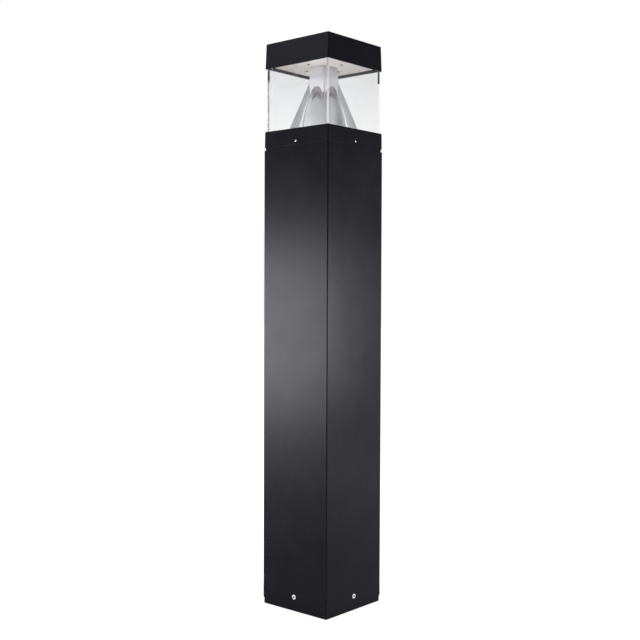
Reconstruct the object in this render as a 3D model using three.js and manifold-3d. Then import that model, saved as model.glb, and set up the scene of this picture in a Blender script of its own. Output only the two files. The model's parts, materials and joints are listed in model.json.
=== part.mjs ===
// Square bollard light: a tube shaft on a cast base, with a clear lantern head that lifts off.
// Millimetres, +Z up. The origin is the middle of the underside of the base.

import * as THREE from 'three';
import { mergeVertices } from 'three/addons/utils/BufferGeometryUtils.js';
import Module from 'manifold-3d';

const wasm = await Module();
wasm.setup();

// ---------- driving dimensions ----------
const BODY_WIDTH = 150;
const TOTAL_HEIGHT = 1000;
const FIT_GAP = 0.3; // clearance between pieces that slide or screw into each other
const PAST = 1; // how far a cutting tool runs past the face that it opens
const ROUND_STEPS = 16; // facets round a small turned piece
const WIDE_STEPS = 40; // facets round a wide turned piece
const HOLE_STEPS = 10; // facets round a small hole that other pieces hide
const CURVE_LEVELS = 9; // straight stretches that stand for the cone's curve
const CORNER_STEPS = 2; // facets round a square piece's corner
const FACE_ANGLES = [0, 90, 180, 270].map(THREE.MathUtils.degToRad);
const DIAGONAL_ANGLES = [45, 135, 225, 315].map(THREE.MathUtils.degToRad);

// base
const PLINTH = { half: 73.7, height: 10.5, corner: 1.5 };
const BASE_SPIGOT = { wall: 5.7, top: 48, corner: 2 };
const CONDUIT_OPENING_RADIUS = 40;
const ANCHOR_HOLE = { radius: 7, reach: 65 };

// shaft
const SHAFT = { half: BODY_WIDTH / 2, wall: 3, bottom: PLINTH.height, top: 811.4, corner: 1.2 };
const SHAFT_BORE_HALF = SHAFT.half - SHAFT.wall;
const SPIGOT_HALF = SHAFT_BORE_HALF - FIT_GAP;
const BASE_SCREW = {
  z: 25, headRadius: 4, headDepth: 2.2, shankRadius: 2,
  length: 12, socket: 1.45, socketDepth: 1.6,
};

// head adapter, with the shadow groove that its flange leaves under the collar
const GROOVE = { height: 5, depth: 1.5 };
const COLLAR_BOTTOM = SHAFT.top + GROOVE.height;
const ADAPTER = { wall: 4, skirtBottom: 785, spigotTop: 832, corner: 2 };

// collar
const COLLAR = { halfBottom: 74.65, halfTop: 74.25, top: 844.9, corner: 1.2, boreHalf: 68 };
const COLLAR_FLOOR = { bottom: 836, top: 840.5 };
const SET_SCREW = {
  z: 823, radius: 2.5, recess: 0.3, socket: 1.45,
  socketDepth: 2, pointTaper: 0.8, edge: 0.4,
};

// lens and its gaskets
const LENS = { half: 71.5, wall: 4, bottom: 842, top: 966, corner: 1.2 };
const LENS_BORE_HALF = LENS.half - LENS.wall;
const LENS_POCKET_HALF = LENS.half + FIT_GAP;
const UPPER_GASKET_TOP = 967.5;

// top cap
const CAP = { halfBottom: 74.05, halfTop: 72.4, bottom: 955.6, roof: 5, corner: 1.2 };
const CAP_CAVITY = { half: 66.5, corner: 4, top: TOTAL_HEIGHT - CAP.roof };
const SCREW_BOSS_RADIUS = 4.5;
const ROD_BOSS_RADIUS = 8;

// light engine, hung under the cap
const COVER = { half: 67.2, bottom: 960, plate: 2, rim: 5.2, top: 965, opening: 15, corner: 1 };
const BOARD = { half: 66.2, thickness: 1.6 };
const LED = { half: 1.5, height: 0.8, root: 0.4, rings: [26, 40, 54], step: 18, screwClearance: 2 };
const CARRIER = { half: 66.2, thickness: 3 };
const BOARD_TOP = COVER.top + BOARD.thickness;
const CARRIER_TOP = BOARD_TOP + CARRIER.thickness;
const COVER_SCREW = {
  offset: 39, headRadius: 2.8, headHeight: 1.6,
  shankRadius: 1.5, top: 980, slot: 0.7,
};

// centre post, reflector cone and fins
const POST = {
  half: 18, wall: 2, corner: 2.5, taperBottom: 941,
  topHalf: 17.8, topCorner: 7, top: 959.7,
};
const CONE = {
  apexRadius: POST.half + FIT_GAP, apexZ: 926, footRadius: 41,
  slope: 0.42, wall: 1.2, cutTop: 923,
};
const CONE_FLANGE = { radius: 58, thickness: 1.5 };
const CONE_SCREW = { offset: 54, headRadius: 2.5, headHeight: 1.4, shankRadius: 1.5, length: 5 };
const FIN = {
  bottom: COLLAR_FLOOR.top + CONE_FLANGE.thickness, top: 932, footReach: 63.5,
  tipWidth: 0.6, halfThickness: 0.6, lean: 0.12, steps: 5, slit: 3.6, slitTop: 910,
};

// tie rod and lead
const ROD = { radius: 3, bottom: 826, top: 988 };
const NUT = { radius: 5.75, height: 5, washerRadius: 6, washer: 1.6 };
const LEAD = { radius: 2.5, x: 10.5 };
const SOCKET = { radius: 8, bottom: 800, flangeRadius: 11, flange: 1.5, bore: 4.8, boreBottom: 805 };
const PLUG = {
  noseRadius: 4.5, noseBottom: 806, bodyRadius: 7,
  bodyTop: 826.5, shoulder: 2, neckRadius: 3.5,
};
const VENT = { x: -60, y: -25, radius: 3.5, capRadius: 5.5, capHeight: 2, capEdge: 1 };

// gear tray inside the shaft
const TRAY = { y: 14, thickness: 2, halfWidth: 45, bottom: 545, foldDepth: 28, foldHalf: 30 };
const TRAY_TOP = SHAFT.top;
const TRAY_SCREW = {
  x: 20, y: 30, headRadius: 4, headHeight: 2.4,
  shankRadius: 2, length: 4, socket: 1.45, socketDepth: 1.4,
};
const DRIVER = { halfWidth: 30, depth: 36, bottom: 655, top: 775, ear: 10, earHalf: 12, earThickness: 2 };
const DRIVER_SCREW = {
  headRadius: 3.5, headHeight: 2, shankRadius: 1.75,
  length: 7, socket: 1.2, socketDepth: 1.1,
};
const SURGE = { x: -20, halfWidth: 16, depth: 26, bottom: 580, top: 635 };
const TERMINAL = {
  x: 22, halfWidth: 14, depth: 16, bottom: 570,
  top: 592, ways: 3, mouthRadius: 2.1, mouthDepth: 5,
};
const EARTH = { x: 22, z: 555 };
const EARTH_SCREW = {
  headRadius: 4, headHeight: 2.5, shankRadius: 2,
  length: 8, socket: 1.2, socketDepth: 1.1,
};
const EARTH_LUG = { radius: 5, thickness: 1, barrelLength: 7, barrelDepth: 2.6, barrelHalf: 1.6 };
const WIRE = { radius: 1.6, inset: 4, straight: 8, sides: 8 }; // each end sits this far into its terminal

// ---------- materials ----------
function paint(color, roughness, metalness) {
  return new THREE.MeshStandardMaterial({ color, roughness, metalness });
}
const blackPaint = paint(0x1d1d20, 0.55, 0.2);
const castMetal = paint(0x8c8f92, 0.6, 0.8);
const steel = paint(0xb9bcc0, 0.3, 1);
const mirrorMetal = paint(0xe2e4e8, 0.08, 1);
const clearPlastic = paint(0xf4f7f8, 0.05, 0);
clearPlastic.transparent = true;
clearPlastic.opacity = 0.3;
const whitePlastic = paint(0xd8d8d2, 0.5, 0);
const darkPlastic = paint(0x2a2b2d, 0.6, 0);
const orangePlastic = paint(0xd9762b, 0.5, 0);
const rubber = paint(0x202020, 0.9, 0);
const boardWhite = paint(0xefeee6, 0.5, 0);
const greenWire = paint(0x4b9a3c, 0.6, 0);

// ---------- solids ----------
function solid(geometry) {
  const bare = geometry.clone();
  bare.deleteAttribute('normal');
  bare.deleteAttribute('uv');
  const merged = mergeVertices(bare, 1e-4);
  const corners = Array.from(merged.index.array);
  const kept = [];
  for (let i = 0; i < corners.length; i += 3) {
    const [a, b, c] = corners.slice(i, i + 3);
    if (a !== b && b !== c && c !== a) kept.push(a, b, c);
  }
  const vertProperties = new Float32Array(merged.attributes.position.array);
  return new wasm.Manifold(new wasm.Mesh({ numProp: 3, vertProperties, triVerts: new Uint32Array(kept) }));
}

function geometryOf(body) {
  const mesh = body.getMesh();
  const geometry = new THREE.BufferGeometry();
  geometry.setAttribute('position', new THREE.BufferAttribute(new Float32Array(mesh.vertProperties), 3));
  geometry.setIndex(new THREE.BufferAttribute(new Uint32Array(mesh.triVerts), 1));
  geometry.computeVertexNormals();
  return geometry;
}

function cutAll(body, tools) {
  return tools.reduce((rest, tool) => rest.subtract(tool), body);
}

function onCircle(radius, angles) {
  return angles.map((angle) => [radius * Math.cos(angle), radius * Math.sin(angle)]);
}

// Outline of a square with rounded corners, as points in anticlockwise order.
function squareOutline(half, corner, steps = CORNER_STEPS) {
  const points = [];
  const centre = half - corner;
  for (let quarter = 0; quarter < 4; quarter++) {
    const start = quarter * Math.PI / 2;
    const cx = centre * Math.SQRT2 * Math.cos(start + Math.PI / 4);
    const cy = centre * Math.SQRT2 * Math.sin(start + Math.PI / 4);
    for (let i = 0; i <= steps; i++) {
      const angle = start + (i / steps) * Math.PI / 2;
      points.push(new THREE.Vector2(cx + corner * Math.cos(angle), cy + corner * Math.sin(angle)));
    }
  }
  return points;
}

// Solid through stacked outlines that all have the same number of points.
function loft(sections) {
  const count = sections[0].outline.length;
  const positions = sections.flatMap(({ outline, z }) => outline.flatMap((p) => [p.x, p.y, z]));
  const index = [];
  for (let level = 0; level < sections.length - 1; level++) {
    for (let i = 0; i < count; i++) {
      const a = level * count + i;
      const b = level * count + (i + 1) % count;
      index.push(a, b, b + count, a, b + count, a + count);
    }
  }
  const lid = THREE.ShapeUtils.triangulateShape(sections[0].outline, []);
  const topStart = (sections.length - 1) * count;
  for (const [a, b, c] of lid) index.push(c, b, a, topStart + a, topStart + b, topStart + c);
  const geometry = new THREE.BufferGeometry();
  geometry.setAttribute('position', new THREE.Float32BufferAttribute(positions, 3));
  geometry.setIndex(index);
  return solid(geometry);
}

function squareBlock(half, bottom, top, corner, topHalf = half) {
  return loft([
    { outline: squareOutline(half, corner), z: bottom },
    { outline: squareOutline(topHalf, corner), z: top },
  ]);
}

function squareRing(half, innerHalf, bottom, top, corner) {
  const bore = squareBlock(innerHalf, bottom - PAST, top + PAST, corner / 2);
  return squareBlock(half, bottom, top, corner).subtract(bore);
}

function box(x0, x1, y0, y1, z0, z1) {
  const geometry = new THREE.BoxGeometry(x1 - x0, y1 - y0, z1 - z0);
  geometry.translate((x0 + x1) / 2, (y0 + y1) / 2, (z0 + z1) / 2);
  return solid(geometry);
}

function roundBar(radius, bottom, top, x = 0, y = 0, steps = ROUND_STEPS) {
  const geometry = new THREE.CylinderGeometry(radius, radius, top - bottom, steps);
  geometry.rotateX(Math.PI / 2);
  geometry.translate(x, y, (bottom + top) / 2);
  return solid(geometry);
}

// Body turned about Z from a profile of [radius, z] pairs that starts and ends on the axis.
function turned(profile, steps = ROUND_STEPS) {
  const geometry = new THREE.LatheGeometry(profile.map(([r, z]) => new THREE.Vector2(r, z)), steps);
  geometry.rotateX(Math.PI / 2);
  return solid(geometry);
}

function hexSocket(apothem, bottom, top) {
  return roundBar(apothem / Math.cos(Math.PI / 6), bottom, top, 0, 0, 6);
}

// Lays a body made along +Z so that +Z points out of the face at this angle.
function facing(body, angle, reach, z) {
  const degrees = THREE.MathUtils.radToDeg(angle);
  return body.rotate([0, 90, 0]).translate([reach, 0, z]).rotate([0, 0, degrees]);
}

function cable(points, radius) {
  const section = new THREE.Shape();
  for (let i = 0; i < WIRE.sides; i++) {
    const angle = (i / WIRE.sides) * 2 * Math.PI;
    const corner = [radius * Math.cos(angle), radius * Math.sin(angle)];
    if (i === 0) section.moveTo(...corner);
    else section.lineTo(...corner);
  }
  section.closePath();
  const route = new THREE.CatmullRomCurve3(points.map((p) => new THREE.Vector3(...p)), false, 'centripetal');
  const steps = Math.max(4, Math.ceil(route.getLength() / (5 * radius)));
  return solid(new THREE.ExtrudeGeometry(section, { steps, extrudePath: route, bevelEnabled: false }));
}

// ---------- assembly ----------
const bollard = new THREE.Group();

function addPart(name, body, material) {
  const mesh = new THREE.Mesh(geometryOf(body), material);
  mesh.name = name;
  bollard.add(mesh);
}

// ---------- base and shaft ----------
// Countersunk screw with its head flush at z = 0, pointing down; extra widens it into its own hole.
function countersunkScrew(extra) {
  const { headRadius, headDepth, shankRadius, length } = BASE_SCREW;
  return turned([
    [0, -length - extra],
    [shankRadius + extra, -length - extra],
    [shankRadius + extra, -headDepth],
    [headRadius + extra, -extra],
    [headRadius + extra, extra],
    [0, extra],
  ]);
}

function makeBaseScrew(angle) {
  const { headRadius, headDepth, shankRadius, length, socket, socketDepth, z } = BASE_SCREW;
  const screw = turned([
    [0, -length],
    [shankRadius, -length],
    [shankRadius, -headDepth],
    [headRadius, 0],
    [0, 0],
  ]);
  return facing(screw.subtract(hexSocket(socket, -socketDepth, PAST)), angle, SHAFT.half, z);
}

function baseScrewHoles() {
  return FACE_ANGLES.map((angle) => facing(countersunkScrew(FIT_GAP), angle, SHAFT.half, BASE_SCREW.z));
}

function makeAnchorBase() {
  const plinth = squareBlock(PLINTH.half, 0, PLINTH.height, PLINTH.corner);
  const { wall, top, corner } = BASE_SPIGOT;
  const spigot = squareRing(SPIGOT_HALF, SPIGOT_HALF - wall, PLINTH.height - PAST, top, corner);
  const conduit = roundBar(CONDUIT_OPENING_RADIUS, -PAST, PLINTH.height + PAST, 0, 0, WIDE_STEPS);
  const anchorHoles = onCircle(ANCHOR_HOLE.reach, DIAGONAL_ANGLES).map(([x, y]) => (
    roundBar(ANCHOR_HOLE.radius, -PAST, PLINTH.height + PAST, x, y)
  ));
  return cutAll(plinth.add(spigot), [conduit, ...anchorHoles, ...baseScrewHoles()]);
}

function makeShaft() {
  const tube = squareRing(SHAFT.half, SHAFT_BORE_HALF, SHAFT.bottom, SHAFT.top, SHAFT.corner);
  return cutAll(tube, baseScrewHoles());
}

// ---------- head adapter ----------
function trayScrewPlaces() {
  return [-TRAY_SCREW.x, TRAY_SCREW.x].map((x) => [x, TRAY_SCREW.y]);
}

function makeHeadAdapter() {
  const { wall, skirtBottom, spigotTop, corner } = ADAPTER;
  const skirt = squareRing(SPIGOT_HALF, SPIGOT_HALF - wall, skirtBottom, SHAFT.top + PAST, corner);
  const flange = squareBlock(SHAFT.half - GROOVE.depth, SHAFT.top, COLLAR_BOTTOM, corner);
  const spigotHalf = COLLAR.boreHalf - FIT_GAP;
  const spigot = squareRing(spigotHalf, spigotHalf - wall, COLLAR_BOTTOM - PAST, spigotTop, corner);
  const socketHole = roundBar(SOCKET.radius + FIT_GAP, SHAFT.top - PAST, COLLAR_BOTTOM + PAST, LEAD.x, 0);
  const screwEnd = SHAFT.top + TRAY_SCREW.length + FIT_GAP;
  const screwHoles = trayScrewPlaces().map(([x, y]) => (
    roundBar(TRAY_SCREW.shankRadius + FIT_GAP, SHAFT.top - PAST, screwEnd, x, y)
  ));
  return cutAll(skirt.add(flange).add(spigot), [socketHole, ...screwHoles]);
}

function makeLeadSocket() {
  return turned([
    [0, SOCKET.bottom],
    [SOCKET.radius, SOCKET.bottom],
    [SOCKET.radius, COLLAR_BOTTOM],
    [SOCKET.flangeRadius, COLLAR_BOTTOM],
    [SOCKET.flangeRadius, COLLAR_BOTTOM + SOCKET.flange],
    [SOCKET.bore, COLLAR_BOTTOM + SOCKET.flange],
    [SOCKET.bore, SOCKET.boreBottom],
    [0, SOCKET.boreBottom],
  ]).translate([LEAD.x, 0, 0]);
}

// ---------- gear tray ----------
function trayHole(x, z, radius) {
  return roundBar(radius, -PAST, TRAY.thickness + PAST).rotate([-90, 0, 0]).translate([x, TRAY.y, z]);
}

function driverScrewHeights() {
  return [DRIVER.bottom - DRIVER.ear / 2, DRIVER.top + DRIVER.ear / 2];
}

function makeGearTray() {
  const back = TRAY.y + TRAY.thickness;
  const plate = box(-TRAY.halfWidth, TRAY.halfWidth, TRAY.y, back, TRAY.bottom, TRAY_TOP);
  const seat = TRAY_TOP - TRAY.thickness;
  const fold = box(-TRAY.foldHalf, TRAY.foldHalf, TRAY.y, back + TRAY.foldDepth, seat, TRAY_TOP);
  const foldHoles = trayScrewPlaces().map(([x, y]) => (
    roundBar(TRAY_SCREW.shankRadius + FIT_GAP, seat - PAST, TRAY_TOP + PAST, x, y)
  ));
  const driverHoles = driverScrewHeights().map((z) => trayHole(0, z, DRIVER_SCREW.shankRadius + FIT_GAP));
  const earthHole = trayHole(EARTH.x, EARTH.z, EARTH_SCREW.shankRadius + FIT_GAP);
  return cutAll(plate.add(fold), [...foldHoles, ...driverHoles, earthHole]);
}

function makeTrayScrew(x, y) {
  const { headRadius, headHeight, shankRadius, length, socket, socketDepth } = TRAY_SCREW;
  const seat = TRAY_TOP - TRAY.thickness;
  const face = seat - headHeight;
  const screw = turned([
    [0, face],
    [headRadius, face],
    [headRadius, seat],
    [shankRadius, seat],
    [shankRadius, TRAY_TOP + length],
    [0, TRAY_TOP + length],
  ]);
  return screw.subtract(hexSocket(socket, face - PAST, face + socketDepth)).translate([x, y, 0]);
}

function makeDriver() {
  const { halfWidth, depth, bottom, top, ear, earHalf, earThickness } = DRIVER;
  const bodyShell = box(-halfWidth, halfWidth, TRAY.y - depth, TRAY.y, bottom, top);
  const ears = box(-earHalf, earHalf, TRAY.y - earThickness, TRAY.y, bottom - ear, top + ear);
  const holes = driverScrewHeights().map((z) => (
    roundBar(DRIVER_SCREW.shankRadius + FIT_GAP, -PAST, earThickness + PAST)
      .rotate([-90, 0, 0]).translate([0, TRAY.y - earThickness, z])
  ));
  return cutAll(bodyShell.add(ears), holes);
}

// Pan head screw along +Y, its head against the face at y = seat.
function panScrewAlongY({ headRadius, headHeight, shankRadius, length, socket, socketDepth }, x, seat, z) {
  const screw = turned([
    [0, -headHeight],
    [headRadius, -headHeight],
    [headRadius, 0],
    [shankRadius, 0],
    [shankRadius, length],
    [0, length],
  ]).subtract(hexSocket(socket, -headHeight - PAST, -headHeight + socketDepth));
  return screw.rotate([-90, 0, 0]).translate([x, seat, z]);
}

function makeSurgeProtector() {
  const { x, halfWidth, depth, bottom, top } = SURGE;
  return box(x - halfWidth, x + halfWidth, TRAY.y - depth, TRAY.y, bottom, top);
}

function terminalWayX(way) {
  const pitch = 2 * TERMINAL.halfWidth / TERMINAL.ways;
  return TERMINAL.x - TERMINAL.halfWidth + pitch * (way + 0.5);
}

function terminalWayY() {
  return TRAY.y - TERMINAL.depth / 2;
}

function makeTerminalBlock() {
  const { x, halfWidth, depth, bottom, top, ways, mouthRadius, mouthDepth } = TERMINAL;
  const block = box(x - halfWidth, x + halfWidth, TRAY.y - depth, TRAY.y, bottom, top);
  const mouths = Array.from({ length: ways }, (_, way) => {
    const y = terminalWayY();
    return roundBar(mouthRadius, top - mouthDepth, top + PAST, terminalWayX(way), y, HOLE_STEPS)
      .add(roundBar(mouthRadius, bottom - PAST, bottom + mouthDepth, terminalWayX(way), y, HOLE_STEPS));
  });
  return cutAll(block, mouths);
}

function makeEarthScrew() {
  return panScrewAlongY(EARTH_SCREW, EARTH.x, TRAY.y - EARTH_LUG.thickness, EARTH.z);
}

// The wire's ring lug lies under the earth screw, and its other end goes into the terminal block.
function makeEarthWire() {
  const { radius, thickness, barrelLength, barrelDepth, barrelHalf } = EARTH_LUG;
  const lugY = TRAY.y - thickness;
  const disc = (size, start, end) => (
    roundBar(size, start, end).rotate([-90, 0, 0]).translate([EARTH.x, lugY, EARTH.z])
  );
  const ring = disc(radius, 0, thickness)
    .subtract(disc(EARTH_SCREW.shankRadius + FIT_GAP, -PAST, thickness + PAST));
  const lugEdge = EARTH.x - radius;
  const barrelEnd = lugEdge - barrelLength;
  const barrel = box(
    barrelEnd, lugEdge + PAST,
    lugY - barrelDepth, TRAY.y - FIT_GAP,
    EARTH.z - barrelHalf, EARTH.z + barrelHalf,
  );
  const wireY = terminalWayY();
  const wire = cable([
    [barrelEnd + 1, lugY - barrelDepth / 2, EARTH.z],
    [barrelEnd - WIRE.inset, lugY - barrelDepth + 0.6, EARTH.z + 1],
    [barrelEnd - 2, wireY + 1, EARTH.z + barrelLength],
    [terminalWayX(0), wireY, TERMINAL.bottom - 3],
    [terminalWayX(0), wireY, TERMINAL.bottom + WIRE.inset],
  ], WIRE.radius);
  return ring.add(barrel).add(wire);
}

function makeDriverInputLead() {
  const start = terminalWayX(2);
  const end = DRIVER.halfWidth - 10;
  const y = terminalWayY();
  return cable([
    [start, y, TERMINAL.top - WIRE.inset],
    [start, y, TERMINAL.top + WIRE.straight],
    [start - 4, y - 4, (TERMINAL.top + DRIVER.bottom) / 2],
    [end, y - 6, DRIVER.bottom - WIRE.straight],
    [end, y - 6, DRIVER.bottom - FIT_GAP],
  ], WIRE.radius);
}

// Comes out of the foot of the surge protector and turns up into the terminal block from below.
function makeSurgeLead() {
  const end = terminalWayX(1);
  const y = terminalWayY();
  return cable([
    [SURGE.x, y, SURGE.bottom - FIT_GAP],
    [SURGE.x, y, SURGE.bottom - WIRE.straight],
    [(SURGE.x + end) / 2 - 8, y - 3, TERMINAL.bottom - 15],
    [end - 8, y - 5, TERMINAL.bottom - 18],
    [end, y - 1, TERMINAL.bottom - WIRE.straight],
    [end, y, TERMINAL.bottom + WIRE.inset],
  ], WIRE.radius);
}

function makeDriverOutputLead() {
  const y = TRAY.y - DRIVER.depth + 14;
  return cable([
    [0, y, DRIVER.top + FIT_GAP],
    [0, y, DRIVER.top + WIRE.straight],
    [LEAD.x, 0, SOCKET.bottom - WIRE.straight],
    [LEAD.x, 0, SOCKET.bottom - FIT_GAP],
  ], LEAD.radius);
}

// ---------- collar ----------
function setScrewReach() {
  const rise = (SET_SCREW.z - COLLAR_BOTTOM) / (COLLAR.top - COLLAR_BOTTOM);
  return COLLAR.halfBottom + (COLLAR.halfTop - COLLAR.halfBottom) * rise - SET_SCREW.recess;
}

function coneScrewPlaces() {
  return onCircle(CONE_SCREW.offset, FACE_ANGLES);
}

// Round hole through the collar's floor.
function floorHole(radius, x = 0, y = 0) {
  return roundBar(radius + FIT_GAP, COLLAR_FLOOR.bottom - PAST, COLLAR_FLOOR.top + PAST, x, y);
}

function makeCollar() {
  const outside = squareBlock(COLLAR.halfBottom, COLLAR_BOTTOM, COLLAR.top, COLLAR.corner, COLLAR.halfTop);
  const bore = squareBlock(COLLAR.boreHalf, COLLAR_BOTTOM - PAST, COLLAR_FLOOR.bottom, ADAPTER.corner);
  const pocket = squareBlock(LENS_POCKET_HALF, COLLAR_FLOOR.top, COLLAR.top + PAST, LENS.corner);
  const wall = COLLAR.halfBottom - COLLAR.boreHalf;
  const setHoles = FACE_ANGLES.map((angle) => (
    facing(roundBar(SET_SCREW.radius + FIT_GAP, -wall - PAST, PAST), angle, COLLAR.halfBottom, SET_SCREW.z)
  ));
  const floorHoles = [
    floorHole(ROD.radius),
    floorHole(LEAD.radius, LEAD.x),
    floorHole(VENT.radius, VENT.x, VENT.y),
    ...coneScrewPlaces().map(([x, y]) => floorHole(CONE_SCREW.shankRadius, x, y)),
  ];
  return cutAll(outside, [bore, pocket, ...setHoles, ...floorHoles]);
}

function makeSetScrew(angle) {
  const { radius, socket, socketDepth, pointTaper, edge, z } = SET_SCREW;
  const length = setScrewReach() - COLLAR.boreHalf;
  const screw = turned([
    [0, -length],
    [radius - pointTaper, -length],
    [radius, -length + pointTaper],
    [radius, -edge],
    [radius - edge, 0],
    [0, 0],
  ]);
  return facing(screw.subtract(hexSocket(socket, -socketDepth, PAST)), angle, setScrewReach(), z);
}

function makeBreatherVent() {
  return turned([
    [0, COLLAR_FLOOR.bottom],
    [VENT.radius, COLLAR_FLOOR.bottom],
    [VENT.radius, COLLAR_FLOOR.top],
    [VENT.capRadius, COLLAR_FLOOR.top],
    [VENT.capRadius - VENT.capEdge, COLLAR_FLOOR.top + VENT.capHeight],
    [0, COLLAR_FLOOR.top + VENT.capHeight],
  ]).translate([VENT.x, VENT.y, 0]);
}

// ---------- lens ----------
function makeLens() {
  return squareRing(LENS.half, LENS_BORE_HALF, LENS.bottom, LENS.top, LENS.corner);
}

function makeLensGasket(bottom, top) {
  return squareRing(LENS.half, LENS_BORE_HALF, bottom, top, LENS.corner);
}

// ---------- centre post, cone and fins ----------
function postSections(inset) {
  return [
    { outline: squareOutline(POST.half - inset, POST.corner - inset), z: COLLAR_FLOOR.top - inset },
    { outline: squareOutline(POST.half - inset, POST.corner - inset), z: POST.taperBottom },
    { outline: squareOutline(POST.topHalf - inset, POST.topCorner - inset), z: POST.top + inset },
  ];
}

function makeCentrePost() {
  return loft(postSections(0)).subtract(loft(postSections(POST.wall)));
}

// Outer profile of the cone: a parabola that leaves the post quickly and gets steeper to the foot.
function coneRadius(z) {
  const drop = CONE.apexZ - z;
  const height = CONE.apexZ - COLLAR_FLOOR.top;
  const bend = (CONE.footRadius - CONE.apexRadius - CONE.slope * height) / height ** 2;
  return CONE.apexRadius + CONE.slope * drop + bend * drop ** 2;
}

// Evenly spaced heights from bottom to top, for a curve made of straight stretches.
function levelsBetween(bottom, top) {
  return Array.from({ length: CURVE_LEVELS + 1 }, (_, i) => bottom + (top - bottom) * i / CURVE_LEVELS);
}

function makeReflectorCone() {
  const { top: foot } = COLLAR_FLOOR;
  const seat = foot + CONE_FLANGE.thickness;
  const heights = levelsBetween(foot, CONE.cutTop);
  const outer = heights.map((z) => [coneRadius(z), z]);
  const skin = turned([[0, foot], ...outer, [0, CONE.cutTop]], WIDE_STEPS);
  const inner = heights.map((z) => [coneRadius(z) - CONE.wall, z]);
  const mouth = [inner[0][0], foot - PAST];
  const hollow = turned([[0, foot - PAST], mouth, ...inner, [0, CONE.cutTop]], WIDE_STEPS);
  const flange = roundBar(CONE_FLANGE.radius, foot, seat, 0, 0, WIDE_STEPS);
  const postHole = squareBlock(POST.half + FIT_GAP, foot - PAST, CONE.apexZ, POST.corner);
  const screwHoles = coneScrewPlaces().map(([x, y]) => (
    roundBar(CONE_SCREW.shankRadius + FIT_GAP, foot - PAST, seat + PAST, x, y)
  ));
  return cutAll(skin.add(flange), [hollow, postHole, ...screwHoles]);
}

function makeConeScrew(x, y) {
  const { headRadius, headHeight, shankRadius, length } = CONE_SCREW;
  const seat = COLLAR_FLOOR.top + CONE_FLANGE.thickness;
  return turned([
    [0, seat - length],
    [shankRadius, seat - length],
    [shankRadius, seat],
    [headRadius, seat],
    [headRadius * 0.8, seat + headHeight],
    [0, seat + headHeight],
  ]).translate([x, y, 0]);
}

// Outline of a fin at one height, before it is turned onto its diagonal: thin at the outer edge and
// thicker inwards. Beside the cone it leaves a slit that widens towards the foot.
function finOutline(z) {
  const postEdge = POST.half * Math.SQRT2 - POST.corner * (Math.SQRT2 - 1) + FIT_GAP;
  const slit = FIN.slit * Math.max(0, (FIN.slitTop - z) / (FIN.slitTop - FIN.bottom));
  const coneEdge = z < CONE.apexZ ? coneRadius(z) + 2 * FIT_GAP + slit : 0;
  const root = Math.max(postEdge, coneEdge);
  const rise = (z - FIN.bottom) / (FIN.top - FIN.bottom);
  const width = FIN.footReach + (postEdge + FIN.tipWidth - FIN.footReach) * rise - root;
  const side = Array.from({ length: FIN.steps + 1 }, (_, i) => {
    const t = i / FIN.steps;
    return new THREE.Vector2(root + width * t, FIN.halfThickness + FIN.lean * width * (1 - t) ** 2);
  });
  const mirrored = side.map(({ x, y }) => new THREE.Vector2(x, -y));
  return [...mirrored, ...side.reverse()];
}

function makeFin(angle) {
  const sections = levelsBetween(FIN.bottom, FIN.top).map((z) => ({ outline: finOutline(z), z }));
  return loft(sections).rotate([0, 0, THREE.MathUtils.radToDeg(angle)]);
}

// ---------- light engine ----------
function coverScrewPlaces() {
  return onCircle(COVER_SCREW.offset, FACE_ANGLES);
}

function coverScrewHoles(bottom, top) {
  const radius = COVER_SCREW.shankRadius + FIT_GAP;
  return coverScrewPlaces().map(([x, y]) => roundBar(radius, bottom - PAST, top, x, y, HOLE_STEPS));
}

function makeCoverPlate() {
  const { half, bottom, top, plate, rim, opening, corner } = COVER;
  const tray = squareBlock(half, bottom, top, corner);
  const well = squareBlock(half - rim, bottom + plate, top + PAST, corner);
  const middle = roundBar(opening, bottom - PAST, top + PAST, 0, 0, WIDE_STEPS);
  return cutAll(tray, [well, middle, ...coverScrewHoles(bottom, top + PAST)]);
}

function makeCoverScrew(x, y) {
  const { headRadius, headHeight, shankRadius, top, slot } = COVER_SCREW;
  const seat = COVER.bottom;
  const screw = turned([
    [0, seat - headHeight],
    [headRadius * 0.75, seat - headHeight],
    [headRadius, seat - headHeight * 0.4],
    [headRadius, seat],
    [shankRadius, seat],
    [shankRadius, top],
    [0, top],
  ]);
  const reach = headRadius * 0.6;
  const recess = [seat - headHeight - PAST, seat - headHeight * 0.4];
  const cross = box(-reach, reach, -slot / 2, slot / 2, ...recess)
    .add(box(-slot / 2, slot / 2, -reach, reach, ...recess));
  return screw.subtract(cross).translate([x, y, 0]);
}

// LEDs stand on square rings round the post, on the underside of the board.
function ledPlaces() {
  return LED.rings.flatMap((ring) => {
    const perSide = Math.round(2 * ring / LED.step);
    const places = [];
    for (let i = 0; i < perSide; i++) {
      const along = -ring + 2 * ring * (i + 0.5) / perSide;
      places.push([along, -ring], [along, ring], [-ring, along], [ring, along]);
    }
    return places;
  });
}

function clearOfCoverScrews([x, y]) {
  const clearance = COVER_SCREW.shankRadius + LED.half + LED.screwClearance;
  return coverScrewPlaces().every(([sx, sy]) => Math.max(Math.abs(x - sx), Math.abs(y - sy)) > clearance);
}

function makeLedBoard() {
  const board = squareBlock(BOARD.half, COVER.top, BOARD_TOP, CAP_CAVITY.corner);
  const rodHole = roundBar(ROD.radius + FIT_GAP, COVER.top - PAST, BOARD_TOP + PAST);
  const bare = cutAll(board, [rodHole, ...coverScrewHoles(COVER.top, BOARD_TOP + PAST)]);
  const leds = ledPlaces().filter(clearOfCoverScrews).map(([x, y]) => (
    box(x - LED.half, x + LED.half, y - LED.half, y + LED.half, COVER.top - LED.height, COVER.top + LED.root)
  ));
  return leds.reduce((rest, led) => rest.add(led), bare);
}

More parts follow.
